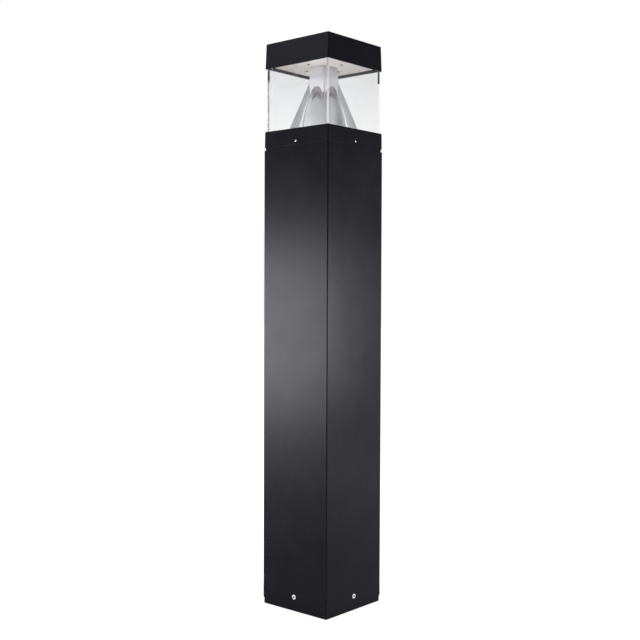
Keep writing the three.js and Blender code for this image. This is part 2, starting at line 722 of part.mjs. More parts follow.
function makeLedCarrier() {
  const plate = squareBlock(CARRIER.half, BOARD_TOP, CARRIER_TOP, CAP_CAVITY.corner);
  const rodHole = roundBar(ROD.radius + FIT_GAP, BOARD_TOP - PAST, CARRIER_TOP + PAST);
  return cutAll(plate, [rodHole, ...coverScrewHoles(BOARD_TOP, CARRIER_TOP + PAST)]);
}

// ---------- top cap ----------
function makeTopCap() {
  const outside = squareBlock(CAP.halfBottom, CAP.bottom, TOTAL_HEIGHT, CAP.corner, CAP.halfTop);
  const pocket = squareBlock(LENS_POCKET_HALF, CAP.bottom - PAST, UPPER_GASKET_TOP, LENS.corner);
  const cavity = squareBlock(CAP_CAVITY.half, UPPER_GASKET_TOP - PAST, CAP_CAVITY.top, CAP_CAVITY.corner);
  const shell = cutAll(outside, [pocket, cavity]);
  const screwBosses = coverScrewPlaces().map(([x, y]) => (
    roundBar(SCREW_BOSS_RADIUS, CARRIER_TOP, CAP_CAVITY.top + PAST, x, y)
  ));
  const rodBoss = roundBar(ROD_BOSS_RADIUS, CARRIER_TOP, CAP_CAVITY.top + PAST);
  const solidCap = [...screwBosses, rodBoss].reduce((rest, boss) => rest.add(boss), shell);
  const rodBore = roundBar(ROD.radius + FIT_GAP, CARRIER_TOP - PAST, ROD.top + FIT_GAP);
  return cutAll(solidCap, [rodBore, ...coverScrewHoles(CARRIER_TOP, COVER_SCREW.top + FIT_GAP)]);
}

// ---------- tie rod and lead ----------
function makeTieRod() {
  return roundBar(ROD.radius, ROD.bottom, ROD.top);
}

function makeTieRodNut() {
  const top = COLLAR_FLOOR.bottom - NUT.washer;
  const nut = roundBar(NUT.radius, top - NUT.height, top, 0, 0, 6);
  return nut.subtract(roundBar(ROD.radius + FIT_GAP, top - NUT.height - PAST, top + PAST));
}

function makeTieRodWasher() {
  const bottom = COLLAR_FLOOR.bottom - NUT.washer;
  const disc = roundBar(NUT.washerRadius, bottom, COLLAR_FLOOR.bottom);
  return disc.subtract(roundBar(ROD.radius + FIT_GAP, bottom - PAST, COLLAR_FLOOR.bottom + PAST));
}

function makeLeadPlug() {
  const shoulder = COLLAR_BOTTOM + SOCKET.flange;
  return turned([
    [0, PLUG.noseBottom],
    [PLUG.noseRadius, PLUG.noseBottom],
    [PLUG.noseRadius, shoulder],
    [PLUG.bodyRadius, shoulder],
    [PLUG.bodyRadius, PLUG.bodyTop - PLUG.shoulder],
    [PLUG.neckRadius, PLUG.bodyTop],
    [0, PLUG.bodyTop],
  ]).translate([LEAD.x, 0, 0]);
}

function makeLedLead() {
  const middle = (PLUG.bodyTop + COVER.top) / 2;
  return cable([
    [LEAD.x, 0, PLUG.bodyTop + FIT_GAP],
    [LEAD.x, 0, middle],
    [LEAD.x, 0, COVER.top - FIT_GAP],
  ], LEAD.radius);
}

// ---------- every piece, from the ground up ----------
addPart('anchor_base', makeAnchorBase(), castMetal);
addPart('shaft_tube', makeShaft(), blackPaint);
FACE_ANGLES.forEach((angle, i) => addPart(`base_screw_${i + 1}`, makeBaseScrew(angle), steel));
addPart('gear_tray', makeGearTray(), steel);
trayScrewPlaces().forEach(([x, y], i) => addPart(`tray_screw_${i + 1}`, makeTrayScrew(x, y), steel));
addPart('led_driver', makeDriver(), castMetal);
driverScrewHeights().forEach((z, i) => {
  const screw = panScrewAlongY(DRIVER_SCREW, 0, TRAY.y - DRIVER.earThickness, z);
  addPart(`driver_screw_${i + 1}`, screw, steel);
});
addPart('surge_protector', makeSurgeProtector(), orangePlastic);
addPart('terminal_block', makeTerminalBlock(), whitePlastic);
addPart('earth_screw', makeEarthScrew(), steel);
addPart('earth_wire', makeEarthWire(), greenWire);
addPart('driver_input_lead', makeDriverInputLead(), darkPlastic);
addPart('surge_lead', makeSurgeLead(), darkPlastic);
addPart('driver_output_lead', makeDriverOutputLead(), darkPlastic);
addPart('head_adapter', makeHeadAdapter(), blackPaint);
addPart('lead_socket', makeLeadSocket(), darkPlastic);

addPart('collar', makeCollar(), blackPaint);
FACE_ANGLES.forEach((angle, i) => addPart(`collar_set_screw_${i + 1}`, makeSetScrew(angle), steel));
addPart('breather_vent', makeBreatherVent(), darkPlastic);
addPart('lens_gasket_lower', makeLensGasket(COLLAR_FLOOR.top, LENS.bottom), rubber);
addPart('clear_lens', makeLens(), clearPlastic);
addPart('lens_gasket_upper', makeLensGasket(LENS.top, UPPER_GASKET_TOP), rubber);
addPart('centre_post', makeCentrePost(), mirrorMetal);
addPart('reflector_cone', makeReflectorCone(), mirrorMetal);
coneScrewPlaces().forEach(([x, y], i) => addPart(`cone_screw_${i + 1}`, makeConeScrew(x, y), steel));
DIAGONAL_ANGLES.forEach((angle, i) => addPart(`reflector_fin_${i + 1}`, makeFin(angle), mirrorMetal));
addPart('led_cover_plate', makeCoverPlate(), whitePlastic);
coverScrewPlaces().forEach(([x, y], i) => addPart(`cover_screw_${i + 1}`, makeCoverScrew(x, y), steel));
addPart('led_board', makeLedBoard(), boardWhite);
addPart('led_carrier', makeLedCarrier(), castMetal);
addPart('tie_rod', makeTieRod(), steel);
addPart('tie_rod_washer', makeTieRodWasher(), steel);
addPart('tie_rod_nut', makeTieRodNut(), steel);
addPart('led_lead', makeLedLead(), darkPlastic);
addPart('lead_plug', makeLeadPlug(), darkPlastic);
addPart('top_cap', makeTopCap(), blackPaint);

export default bollard;
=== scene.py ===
import json
import math

import bmesh
import bpy
from mathutils import Matrix, Vector


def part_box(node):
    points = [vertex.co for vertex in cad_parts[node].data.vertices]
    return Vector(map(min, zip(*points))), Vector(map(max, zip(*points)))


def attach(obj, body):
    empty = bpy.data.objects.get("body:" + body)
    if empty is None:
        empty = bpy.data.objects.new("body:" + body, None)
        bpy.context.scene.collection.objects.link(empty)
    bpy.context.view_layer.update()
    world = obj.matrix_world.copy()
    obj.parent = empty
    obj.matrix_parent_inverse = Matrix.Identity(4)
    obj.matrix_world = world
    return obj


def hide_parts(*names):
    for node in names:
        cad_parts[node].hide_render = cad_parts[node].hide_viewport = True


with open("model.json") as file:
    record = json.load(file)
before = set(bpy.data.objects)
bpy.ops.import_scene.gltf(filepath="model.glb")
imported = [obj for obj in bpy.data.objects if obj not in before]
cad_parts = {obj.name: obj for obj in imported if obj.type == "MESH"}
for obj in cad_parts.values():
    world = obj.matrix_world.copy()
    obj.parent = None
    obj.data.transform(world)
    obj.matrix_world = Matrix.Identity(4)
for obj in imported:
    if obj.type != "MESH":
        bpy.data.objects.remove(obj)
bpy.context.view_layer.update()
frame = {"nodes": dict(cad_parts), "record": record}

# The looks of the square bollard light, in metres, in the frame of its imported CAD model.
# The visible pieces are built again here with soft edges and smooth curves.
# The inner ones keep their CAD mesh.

MM = 0.001
FACES = [math.radians(angle) for angle in (0, 90, 180, 270)]
EIGHTH_TURN = math.pi / 4
HEXAGON = 6

# ---------- fineness of the meshes ----------
CORNER_STEPS = 6  # facets round a square piece's vertical corner
POST_CORNER_STEPS = 8
ROUND_STEPS = 48  # facets round a small turned piece
BORE_STEPS = 96  # facets round a wide hole
CONE_STEPS = 144
EDGE_STEPS = 3  # facets across a rounded edge
SHARP_ANGLE = 32  # degrees between two faces, above which their edge shows as sharp
POST_SHARP_ANGLE = 50
MERGE_DISTANCE = 1e-6
LEAST_EDGE = 1e-7
LONGEST_RUN = 0.45  # share of a profile's side that one rounded edge may take
AXIS_GAP = 0.02 * MM  # how near the axis a turned piece's lids close
LID_REACH = 5 * MM  # half width of the square where a square piece's lids close
LEAST_CORNER = 0.3 * MM

# ---------- sizes that the frame doesn't give ----------
CUT_GAP = 0.3 * MM  # clearance round a screw in its hole
CUT_PAST = 1 * MM  # how far a cutter reaches past what it cuts
SOCKET_START = 0.1 * MM  # faces deeper in a screw's head than this belong to its socket

SHAFT = {"wall": 3 * MM, "corner": 1.6 * MM, "edge": 0.15 * MM}
PLINTH = {"height": 10.5 * MM, "corner": 1 * MM, "edge": 0.3 * MM}
BASE_SPIGOT = {"gap": 0.3 * MM, "wall": 5.7 * MM, "corner": 2 * MM}
CONDUIT_RADIUS = 40 * MM
ANCHOR_HOLE = {"radius": 7 * MM, "reach": 65 * MM}
BASE_SCREW = {"radius": 4 * MM, "depth": 2.2 * MM, "rim": 0.35 * MM, "shank": 2 * MM, "length": 12 * MM}
BASE_SCREW_Z = 25 * MM
BASE_SCREW_EDGE = {"tip": 0.4 * MM, "cone": 0.1 * MM, "face": 0.15 * MM}
BASE_SOCKET = {"half": 2 * MM, "depth": 1.6 * MM}

COLLAR = {"top_half": 74.25 * MM, "bore": 68 * MM, "pocket": 71.8 * MM, "corner": 1.6 * MM}
COLLAR_EDGE = {"top": 0.7 * MM, "inner": 0.3 * MM, "bottom": 0.15 * MM}
COLLAR_FLOOR = {"bottom": 836 * MM, "top": 840.5 * MM}
SET_SCREW = {"radius": 1.8 * MM, "z": 823 * MM, "point": 0.8 * MM}
SET_SCREW_EDGE = {"point": 0.1 * MM, "face": 0.5 * MM}
SET_SCREW_HOLE = {"bottom": -10 * MM, "top": 2 * MM}
SET_SOCKET = {"half": 0.8 * MM, "depth": 2 * MM}

LENS = {"wall": 4 * MM, "corner": 1.4 * MM, "inner_corner": 0.6 * MM, "edge": 0.3 * MM}
CAP = {"top_half": 72.4 * MM, "corner": 1.8 * MM, "cavity": 66.5 * MM, "roof": 5 * MM}
CAP_EDGE = {"top": 0.9 * MM, "inner": 0.3 * MM, "bottom": 0.5 * MM}

COVER = {"plate": 2 * MM, "rim": 5.2 * MM, "opening": 15 * MM, "corner": 1 * MM, "edge": 0.4 * MM}
COVER_SCREW = {"reach": 39 * MM, "radius": 2.3 * MM, "head": 1.2 * MM, "shank": 1.5 * MM}
COVER_SCREW_CROWN, COVER_SCREW_RIM = 0.8, 0.3 * MM  # the crown is a share of the head's radius
COVER_SCREW_EDGE = {"crown": 0.7 * MM, "rim": 0.2 * MM, "tip": 0.3 * MM}
COVER_SLOT = {"half": 0.35 * MM, "reach": 0.6, "floor": 0.6 * MM}  # reach is a share of the radius
BLADE_CORNER = 0.25  # share of the blade's half width

POST = {"half": 18 * MM, "corner": 2.2 * MM, "top_half": 17.8 * MM, "top_corner": 7 * MM}
POST_TAPER = {"start": 941 * MM, "levels": 10}
FIN = {"tip": 0.6 * MM, "top": 932 * MM, "foot_reach": 63.5 * MM, "levels": 18, "steps": 5}
FIN_ROOT = {"lean": 0.12, "slit": 3.6 * MM, "slit_top": 910 * MM}  # light shows through the slit
CONE = {"apex_z": 926 * MM, "slope": 0.42, "foot": 41 * MM, "wall": 1.2 * MM, "levels": 28}
CONE_FLANGE = {"thickness": 1.5 * MM, "edge": 0.4 * MM}
CONE_SEAT = COLLAR_FLOOR["top"] + CONE_FLANGE["thickness"]
CONE_TOP_CUT = 1 * MM  # the cone ends this far below its apex, inside the post
CONE_CORE_PAST = 5 * MM  # how far the cutter that makes room for the post reaches past its top
CONE_SCREW = {"reach": 54 * MM, "radius": 2.5 * MM, "head": 1.4 * MM, "shank": 1.5 * MM}
CONE_SCREW_CROWN = 0.85  # share of the head's radius
CONE_SCREW_EDGE = {"tip": 0.3 * MM, "rim": 0.1 * MM, "crown": 0.5 * MM}
CONE_SOCKET = {"radius": 0.9 * MM, "floor": 0.5 * MM, "top": 3 * MM}

BROKEN_EDGE = {"width": 0.25 * MM, "segments": 2, "least_angle": 50}

# ---------- camera ----------
CAMERA_PLACE = (1.188564, -1.372742, 0.557882)
CAMERA_YAW, CAMERA_PITCH, CAMERA_ROLL = 0.716471, 0.026282, 0.003853
CAMERA_LENS, CAMERA_SENSOR = 56.8263, 36
CAMERA_CLIP = (0.05, 60)

# ---------- finishes ----------
MIX_COLOURS, MIX_RESULT = slice(6, 8), 2  # a Mix node's colour sockets
# A texture is given as features per metre and levels of detail, a relief as depth and strength.
NOISE_ROUGHNESS = 0.55
ALL_OF_IT = (0, 1)
MIDDLE = (0.3, 0.7)  # where most of a noise's values lie

PAINT = {"tint": (0.0024, 0.0023, 0.0042), "gloss": 0.27, "gloss_range": 0.02, "specular": 0.06}
PAINT_GLINT = (0.90, 0.88, 1.0, 1)
PAINT_SHADES = {"dark": 0.82, "light": 1.2, "speck": 2.2}
PAINT_TEXTURE = {"clouds": (14, 4), "grain": (1500, 2), "specks": (3200, 1), "peel": (420, 2)}
PAINT_SPECKS = {"to": (0, 0.5), "since": (0.62, 0.75)}
PAINT_RELIEF = {"peel": (0.02 * MM, 0.6), "grain": (0.012 * MM, 0.8)}

DRAWN = {"grain": (1, 1, 0.05), "scale": 900}  # lines drawn up the height
METALS = {
    "cast_aluminium": {"tint": (0.50, 0.51, 0.52), "gloss": 0.5, "scale": 400, "depth": 0.05},
    "stainless_steel": {"tint": (0.78, 0.79, 0.81), "gloss": 0.22, "grain": (1, 1, 8), "scale": 900},
    "blackened_steel": {"tint": (0.05, 0.05, 0.055), "gloss": 0.35, "scale": 900},
    "galvanised_steel": {"tint": (0.60, 0.62, 0.64), "gloss": 0.38, "scale": 120, "depth": 0.02},
    "mirror_aluminium": {
        "tint": (0.91, 0.91, 0.94), "gloss": 0.22, "depth": 0.002, "wear": 0.03, **DRAWN,
    },
    # painted shade: the next two finishes darken towards their tops, under the light engine's cover
    # plate
    "satin_aluminium_painted_shade": {
        "tint": (0.91, 0.91, 0.94), "gloss": 0.36, "depth": 0.004, "wear": 0.05,
        "painted_shade_above": 938 * MM, **DRAWN,
    },
    "rolled_aluminium_painted_shade": {
        "tint": (0.90, 0.905, 0.945), "gloss": 0.22, "depth": 0.002, "wear": 0.03,
        "painted_shade_above": 898 * MM, **DRAWN,
    },
}
METAL_DARKER = 0.88
# painted shade: the share of the tint left at the top, and the height over which the metal darkens
METAL_PAINTED_SHADE, PAINTED_SHADE_HEIGHT = 0.6, 20 * MM
METAL_CLOUDS, METAL_DETAIL, METAL_STRENGTH = (35, 3), 3, 0.5

PLASTICS = {
    "dark_plastic": {"tint": (0.025, 0.025, 0.027)},
    "orange_plastic": {"tint": (0.70, 0.18, 0.03)},
    "black_rubber": {"tint": (0.014, 0.014, 0.014), "gloss": 0.75, "depth": 0.05, "per_metre": 700},
    "board_white": {"tint": (0.72, 0.72, 0.68), "gloss": 0.4, "depth": 0.01, "per_metre": 900},
    "green_wire": {"tint": (0.06, 0.30, 0.04), "gloss": 0.4},
}
PLASTIC_DARKER, PLASTIC_GLOSS_RANGE = 0.85, 0.05
PLASTIC_CLOUDS, PLASTIC_DETAIL, PLASTIC_STRENGTH = (60, 3), 2, 0.6

# painted shade: the lens's tint darkens from its foot to its top, under the cap
CLEAR = {"foot": (0.975, 0.977, 0.98), "top": (0.85, 0.853, 0.86)}
CLEAR_IOR, CLEAR_GLINT = 1.49, (0.35, 0.34, 0.4, 1)
CLEAR_SMEARS_AND_PAINTED_SHADE = {"by_height": (0.0, 0.85), "by_smears": (0, 0.15)}
CLEAR_ROUGHNESS = {"to": (0.0, 0.01), "since": (0.5, 0.8)}
CLEAR_TEXTURE = {"lines": (260, 2), "smears": (30, 4)}
CLEAR_STRETCH, CLEAR_RELIEF = (1, 1, 0.02), (0.001 * MM, 0.1)

# painted shade: the seam's colour goes darker and purpler from foot to top, under the cap
SEAM = {"foot": (0.66, 0.66, 0.68), "top": (0.34, 0.32, 0.42), "roughness": (0.3, 0.4)}
SEAM_STREAKS_AND_PAINTED_SHADE = {"by_height": (0.0, 0.9), "by_streaks": (0, 0.1)}
SEAM_STREAKS, SEAM_STRETCH, SEAM_RELIEF = (500, 2), (1, 1, 0.1), (0.01 * MM, 0.4)

# painted shade: the sheet is darker in the hollows between its domes
SHEET = {"dark": (0.94, 0.86, 0.80), "light": (0.97, 0.89, 0.83), "shade_between_domes": (0.36, 0.35, 0.36)}
SHEET_CLOUDS, DOMES_PER_METRE, DOME_RELIEF = (45, 3), 200, (-0.5 * MM, 0.6)
SHEET_SHADE_BETWEEN_DOMES = {"to": (0.0, 0.65), "since": (0.3, 0.6)}
SHEET_ROUGHNESS = {"to": (0.3, 0.5), "since": (0.1, 0.6)}
FLAT_PATTERN = (1, 1, 0)  # the same at every height

# ---------- studio ----------
FLOOR = {"half": 12, "dark": (0.90, 0.90, 0.90), "light": (0.93, 0.93, 0.93)}
FLOOR_CLOUDS, FLOOR_GLOW, FLOOR_ROUGHNESS, FLOOR_SPECULAR = (2.5, 3), 0.5, 0.9, 0.1
OVERHEAD = {"strength": (1.0, 0.66), "up": (0.3, 0.6)}
DARK_SIDE = {  # the room behind the photographer
    "towards": (0.65, -0.76, 0.0), "likeness": (0.2, 0.95), "loss": (0.0, 0.6),
    "up": (0.2, 0.5), "share": (1.0, 0.1),
}
DIM_SIDE = {  # what the right-hand faces reflect
    "towards": (0.65, 0.76, 0.0), "likeness": (0.6, 0.95), "loss": (0.0, 0.3),
    "up": (0.0, 0.15), "share": (0.0, 1.0),
}
FLAG = {**DIM_SIDE, "up": (0.22, 0.3), "share": (0.0, 1.6)}  # darker again where the cap reflects it
FLAG_END = {"up": (0.4, 0.55), "share": (1.0, 0.0)}
SOFTBOXES = (
    {
        "name": "left_softbox",
        "at": (-1.49, -1.505, 0.42), "aim": 0.49, "size": (0.70, 0.62), "power": 46,
    },
    {
        "name": "right_softbox",
        "at": (1.49, 1.17, 0.455), "aim": 0.49, "size": (0.15, 0.44), "power": 34,
    },
    {
        "name": "cap_softbox",
        "at": (-1.17, -1.445, 1.60), "aim": 0.97, "size": (0.5, 0.4), "power": 2,
        "lit": ("top_cap_skin", "collar_skin"),
    },
)
BOUNCES = 48  # light runs far inside the walls of the lens
FIRST_BOUNCE = 0.5  # fewer bounces than this is none: the backdrop is seen itself, not in a surface


def low(node):
    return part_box(node)[0]


def high(node):
    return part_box(node)[1]


def around(reach, angle):
    """The x and y of a point at this distance from the axis."""
    return reach * math.cos(angle), reach * math.sin(angle)


def between(first, last, t):
    return first + (last - first) * t


def make_camera():
    yaw, pitch, roll = CAMERA_YAW, CAMERA_PITCH, CAMERA_ROLL
    forward_x, forward_y = -math.sin(yaw) * math.cos(pitch), math.cos(yaw) * math.cos(pitch)
    forward = Vector((forward_x, forward_y, -math.sin(pitch)))
    level_right = Vector((math.cos(yaw), math.sin(yaw), 0))
    level_up = level_right.cross(forward)
    right = level_right * math.cos(roll) + level_up * math.sin(roll)
    up = level_up * math.cos(roll) - level_right * math.sin(roll)
    data = bpy.data.cameras.new("camera")
    data.sensor_width = CAMERA_SENSOR
    data.lens = CAMERA_LENS
    data.clip_start, data.clip_end = CAMERA_CLIP
    camera = bpy.data.objects.new("camera", data)
    camera.matrix_world = Matrix((right, up, -forward)).transposed().to_4x4()
    camera.location = CAMERA_PLACE
    bpy.context.scene.collection.objects.link(camera)
    bpy.context.scene.camera = camera


make_camera()


# ---------- shader nodes ----------
def new_material(name):
    material = bpy.data.materials.new(name)
    material.use_nodes = True
    tree = material.node_tree
    return material, tree, tree.nodes["Principled BSDF"]


def add_node(tree, kind, inputs=None, links=None, **settings):
    node = tree.nodes.new(kind)
    for key, value in settings.items():
        setattr(node, key, value)
    for key, value in (inputs or {}).items():
        node.inputs[key].default_value = value
    for key, socket in (links or {}).items():
        tree.links.new(socket, node.inputs[key])
    return node


def place(tree, stretch=(1, 1, 1)):
    """Coordinates in metres in the model's frame, stretched along each axis."""
    coordinates = add_node(tree, "ShaderNodeTexCoord")
    scaled = add_node(tree, "ShaderNodeMapping", links={"Vector": coordinates.outputs["Object"]})
    scaled.inputs["Scale"].default_value = stretch
    return scaled.outputs["Vector"]


def upwards(tree, vector):
    return add_node(tree, "ShaderNodeSeparateXYZ", links={"Vector": vector}).outputs["Z"]


def noise(tree, where, per_metre, detail):
    inputs = {"Scale": per_metre, "Detail": detail, "Roughness": NOISE_ROUGHNESS}
    return add_node(tree, "ShaderNodeTexNoise", inputs, {"Vector": where}).outputs["Fac"]


def cells(tree, where, per_metre):
    """Distance from the middle of the nearest cell of an even grid."""
    inputs = {"Scale": per_metre, "Randomness": 0.0}
    node = add_node(tree, "ShaderNodeTexVoronoi", inputs, {"Vector": where}, feature="F1")
    return node.outputs["Distance"]


def spread(tree, value, to=ALL_OF_IT, since=MIDDLE):
    """Takes a value from one range to another, evenly and without overshoot."""
    inputs = {"From Min": since[0], "From Max": since[1], "To Min": to[0], "To Max": to[1]}
    return add_node(tree, "ShaderNodeMapRange", inputs, {"Value": value}).outputs["Result"]


def blend_colours(tree, factor, first, second):
    node = add_node(tree, "ShaderNodeMix", data_type="RGBA")
    tree.links.new(factor, node.inputs["Factor"])
    for socket, colour in zip(node.inputs[MIX_COLOURS], (first, second)):
        if isinstance(colour, tuple):
            socket.default_value = (*colour, 1)
        else:
            tree.links.new(colour, socket)
    return node.outputs[MIX_RESULT]


def shaded(tint, factor):
    return tuple(factor * channel for channel in tint)


def arithmetic(tree, operation, first, second):
    node = add_node(tree, "ShaderNodeMath", operation=operation)
    for socket, value in zip(node.inputs, (first, second)):
        if isinstance(value, (int, float)):
            socket.default_value = value
        else:
            tree.links.new(value, socket)
    return node.outputs["Value"]


def relief(tree, height, depth, strength, below=None):
    """Bump of this depth in metres, on top of another bump."""
    links = {"Height": height}
    if below is not None:
        links["Normal"] = below
    node = add_node(tree, "ShaderNodeBump", {"Distance": depth, "Strength": strength}, links)
    return node.outputs["Normal"]


def connect(tree, shader, **sockets):
    """Links values to the shader's inputs, which are named with _ for each space."""
    for name, value in sockets.items():
        tree.links.new(value, shader.inputs[name.replace("_", " ")])


# ---------- materials ----------
def painted_black(name):
    """Satin powder coat: a fine even texture, and slight differences in shade and gloss."""
    material, tree, shader = new_material(name)
    where, tint, gloss, gloss_range = place(tree), PAINT["tint"], PAINT["gloss"], PAINT["gloss_range"]
    textures = {kind: noise(tree, where, *fineness) for kind, fineness in PAINT_TEXTURE.items()}
    clouds, grain = textures["clouds"], textures["grain"]
    darker, lighter = shaded(tint, PAINT_SHADES["dark"]), shaded(tint, PAINT_SHADES["light"])
    colour = blend_colours(tree, spread(tree, clouds), darker, lighter)
    specks = spread(tree, textures["specks"], **PAINT_SPECKS)
    colour = blend_colours(tree, specks, colour, shaded(tint, PAINT_SHADES["speck"]))
    cloudy = spread(tree, clouds, (-gloss_range, gloss_range))
    grainy = spread(tree, grain, (gloss - gloss_range, gloss + gloss_range))
    peel = relief(tree, textures["peel"], *PAINT_RELIEF["peel"])
    pebbled = relief(tree, grain, *PAINT_RELIEF["grain"], peel)
    roughness = arithmetic(tree, "ADD", cloudy, grainy)
    connect(tree, shader, Base_Color=colour, Roughness=roughness, Normal=pebbled)
    shader.inputs["Specular IOR Level"].default_value = PAINT["specular"]
    shader.inputs["Specular Tint"].default_value = PAINT_GLINT
    return material


def bare_metal(name, tint, gloss, scale, grain=(1, 1, 1), depth=0.01, wear=0.06, painted_shade_above=None):
    """Metal with lines drawn along one direction, or an even grain where all scales are equal."""
    material, tree, shader = new_material(name)
    lines = noise(tree, place(tree, grain), scale, METAL_DETAIL)
    clouds = noise(tree, place(tree), *METAL_CLOUDS)
    colour = blend_colours(tree, spread(tree, clouds), shaded(tint, METAL_DARKER), tint)
    # Painted shade: above the given height the tint darkens, standing in for shade and a dimmer
    # reflection under the cover plate.
    if painted_shade_above:
        heights = (painted_shade_above, painted_shade_above + PAINTED_SHADE_HEIGHT)
        painted_shade_share = spread(tree, upwards(tree, place(tree)), since=heights)
        colour = blend_colours(tree, painted_shade_share, colour, shaded(tint, METAL_PAINTED_SHADE))
    roughness = spread(tree, lines, (gloss - wear / 2, gloss + wear / 2))
    lined = relief(tree, lines, depth * MM, METAL_STRENGTH)
    connect(tree, shader, Base_Color=colour, Roughness=roughness, Normal=lined)
    shader.inputs["Metallic"].default_value = 1.0
    return material


def moulded_plastic(name, tint, gloss=0.45, depth=0.02, per_metre=1100):
    """Plastic with the fine pebble of a mould and slight clouds of shade."""
    material, tree, shader = new_material(name)
    where = place(tree)
    pebble = noise(tree, where, per_metre, PLASTIC_DETAIL)
    clouds = noise(tree, where, *PLASTIC_CLOUDS)
    colour = blend_colours(tree, spread(tree, clouds), shaded(tint, PLASTIC_DARKER), tint)
    roughness = spread(tree, pebble, (gloss - PLASTIC_GLOSS_RANGE, gloss + PLASTIC_GLOSS_RANGE))
    pebbled = relief(tree, pebble, depth * MM, PLASTIC_STRENGTH)
    connect(tree, shader, Base_Color=colour, Roughness=roughness, Normal=pebbled)
    return material


def lens_height(tree, to):
    """A value that changes from the foot of the lens to its top."""
    heights = (low("clear_lens").z, high("clear_lens").z)
    return spread(tree, upwards(tree, place(tree)), to, heights)


def clear_plastic(name):
    """Clear polycarbonate with faint drawing lines up its height."""
    material, tree, shader = new_material(name)
    lines = noise(tree, place(tree, CLEAR_STRETCH), *CLEAR_TEXTURE["lines"])
    smears = noise(tree, place(tree), *CLEAR_TEXTURE["smears"])
    smeared = spread(tree, smears, CLEAR_SMEARS_AND_PAINTED_SHADE["by_smears"])
    # Painted shade: the tint darkens towards the top of the lens, under the cap; smears vary it at
    # random.
    smears_and_painted_shade = arithmetic(tree, "ADD", lens_height(tree, CLEAR_SMEARS_AND_PAINTED_SHADE["by_height"]), smeared)
    tint = blend_colours(tree, smears_and_painted_shade, CLEAR["foot"], CLEAR["top"])
    roughness = spread(tree, smears, **CLEAR_ROUGHNESS)
    lined = relief(tree, lines, *CLEAR_RELIEF)
    connect(tree, shader, Base_Color=tint, Roughness=roughness, Normal=lined)
    shader.inputs["Specular Tint"].default_value = CLEAR_GLINT
    shader.inputs["Transmission Weight"].default_value = 1.0
    shader.inputs["IOR"].default_value = CLEAR_IOR
    return material


def lens_seam(name):
    """Corner of the lens, where its sheets are glued: whitish, with painted shade that makes it darker
    and purpler towards the top, under the cap.
    """
    material, tree, shader = new_material(name)
    streaks = noise(tree, place(tree, SEAM_STRETCH), *SEAM_STREAKS)
    streaked = spread(tree, streaks, SEAM_STREAKS_AND_PAINTED_SHADE["by_streaks"])
    # Painted shade towards the top, with streaks at random.
    shade = arithmetic(tree, "ADD", lens_height(tree, SEAM_STREAKS_AND_PAINTED_SHADE["by_height"]), streaked)
    colour = blend_colours(tree, shade, SEAM["foot"], SEAM["top"])
    roughness = spread(tree, streaks, SEAM["roughness"])
    lined = relief(tree, streaks, *SEAM_RELIEF)
    connect(tree, shader, Base_Color=colour, Roughness=roughness, Normal=lined)
    return material


def dotted_white(name):
    """Diffuser sheet: a close grid of small domes pressed into slightly warm white plastic."""
    material, tree, shader = new_material(name)
    domes = cells(tree, place(tree, FLAT_PATTERN), DOMES_PER_METRE)
    clouds = noise(tree, place(tree), *SHEET_CLOUDS)
    base = blend_colours(tree, spread(tree, clouds), SHEET["dark"], SHEET["light"])
    # Painted shade: darker in the hollows between the domes.
    shaded_between_domes = blend_colours(tree, spread(tree, domes, **SHEET_SHADE_BETWEEN_DOMES), base, SHEET["shade_between_domes"])
    roughness = spread(tree, domes, **SHEET_ROUGHNESS)
    domed = relief(tree, domes, *DOME_RELIEF)
    connect(tree, shader, Base_Color=shaded_between_domes, Roughness=roughness, Normal=domed)
    return material


MATERIALS = {name: bare_metal(name, **look) for name, look in METALS.items()}
MATERIALS.update({name: moulded_plastic(name, **look) for name, look in PLASTICS.items()})
for finish, make_finish in (
    ("black_powder_coat", painted_black),
    ("clear_polycarbonate", clear_plastic),
    ("lens_seam", lens_seam),
    ("white_polycarbonate", dotted_white),
):
    MATERIALS[finish] = make_finish(finish)


# ---------- mesh code ----------
def new_piece(name, vertices, faces, sharp_angle=SHARP_ANGLE):
    mesh = bpy.data.meshes.new(name)
    mesh.from_pydata([tuple(v) for v in vertices], [], faces)
    piece = bpy.data.objects.new(name, mesh)
    bpy.context.scene.collection.objects.link(piece)
    tidy_mesh(mesh, sharp_angle)
    return piece


def tidy_mesh(mesh, sharp_angle=SHARP_ANGLE):
    shape = bmesh.new()
    shape.from_mesh(mesh)
    bmesh.ops.remove_doubles(shape, verts=shape.verts, dist=MERGE_DISTANCE)
    bmesh.ops.dissolve_degenerate(shape, edges=shape.edges, dist=LEAST_EDGE)
    bmesh.ops.recalc_face_normals(shape, faces=shape.faces)
    shape.to_mesh(mesh)
    shape.free()
    mesh.shade_smooth()
    mesh.set_sharp_from_angle(angle=math.radians(sharp_angle))


def square_ring(half, corner, z, steps=CORNER_STEPS):
    """Points round a square with rounded corners, at one height."""
    centre = (half - corner) * math.sqrt(2)
    ring = []
    for start in FACES:
        cx, cy = around(centre, start + EIGHTH_TURN)
        for i in range(steps + 1):
            dx, dy = around(corner, start + i / steps * math.pi / 2)
            ring.append((cx + dx, cy + dy, z))
    return ring


def round_ring(radius, z, steps):
    return [(*around(radius, 2 * math.pi * i / steps), z) for i in range(steps)]


def skin_rings(name, rings, closed, sharp_angle=SHARP_ANGLE):
    """Faces through rings of points.

    A closed stack joins its last ring to its first, and an open one gets two lids."""
    count = len(rings[0])
    vertices = [point for ring in rings for point in ring]
    faces = []
    for level in range(len(rings) if closed else len(rings) - 1):
        here, above = level * count, (level + 1) % len(rings) * count
        for i in range(count):
            j = (i + 1) % count
            faces.append((here + i, here + j, above + j, above + i))
    if not closed:
        last = (len(rings) - 1) * count
        faces.append(tuple(reversed(range(count))))
        faces.append(tuple(range(last, last + count)))
    return new_piece(name, vertices, faces, sharp_angle)


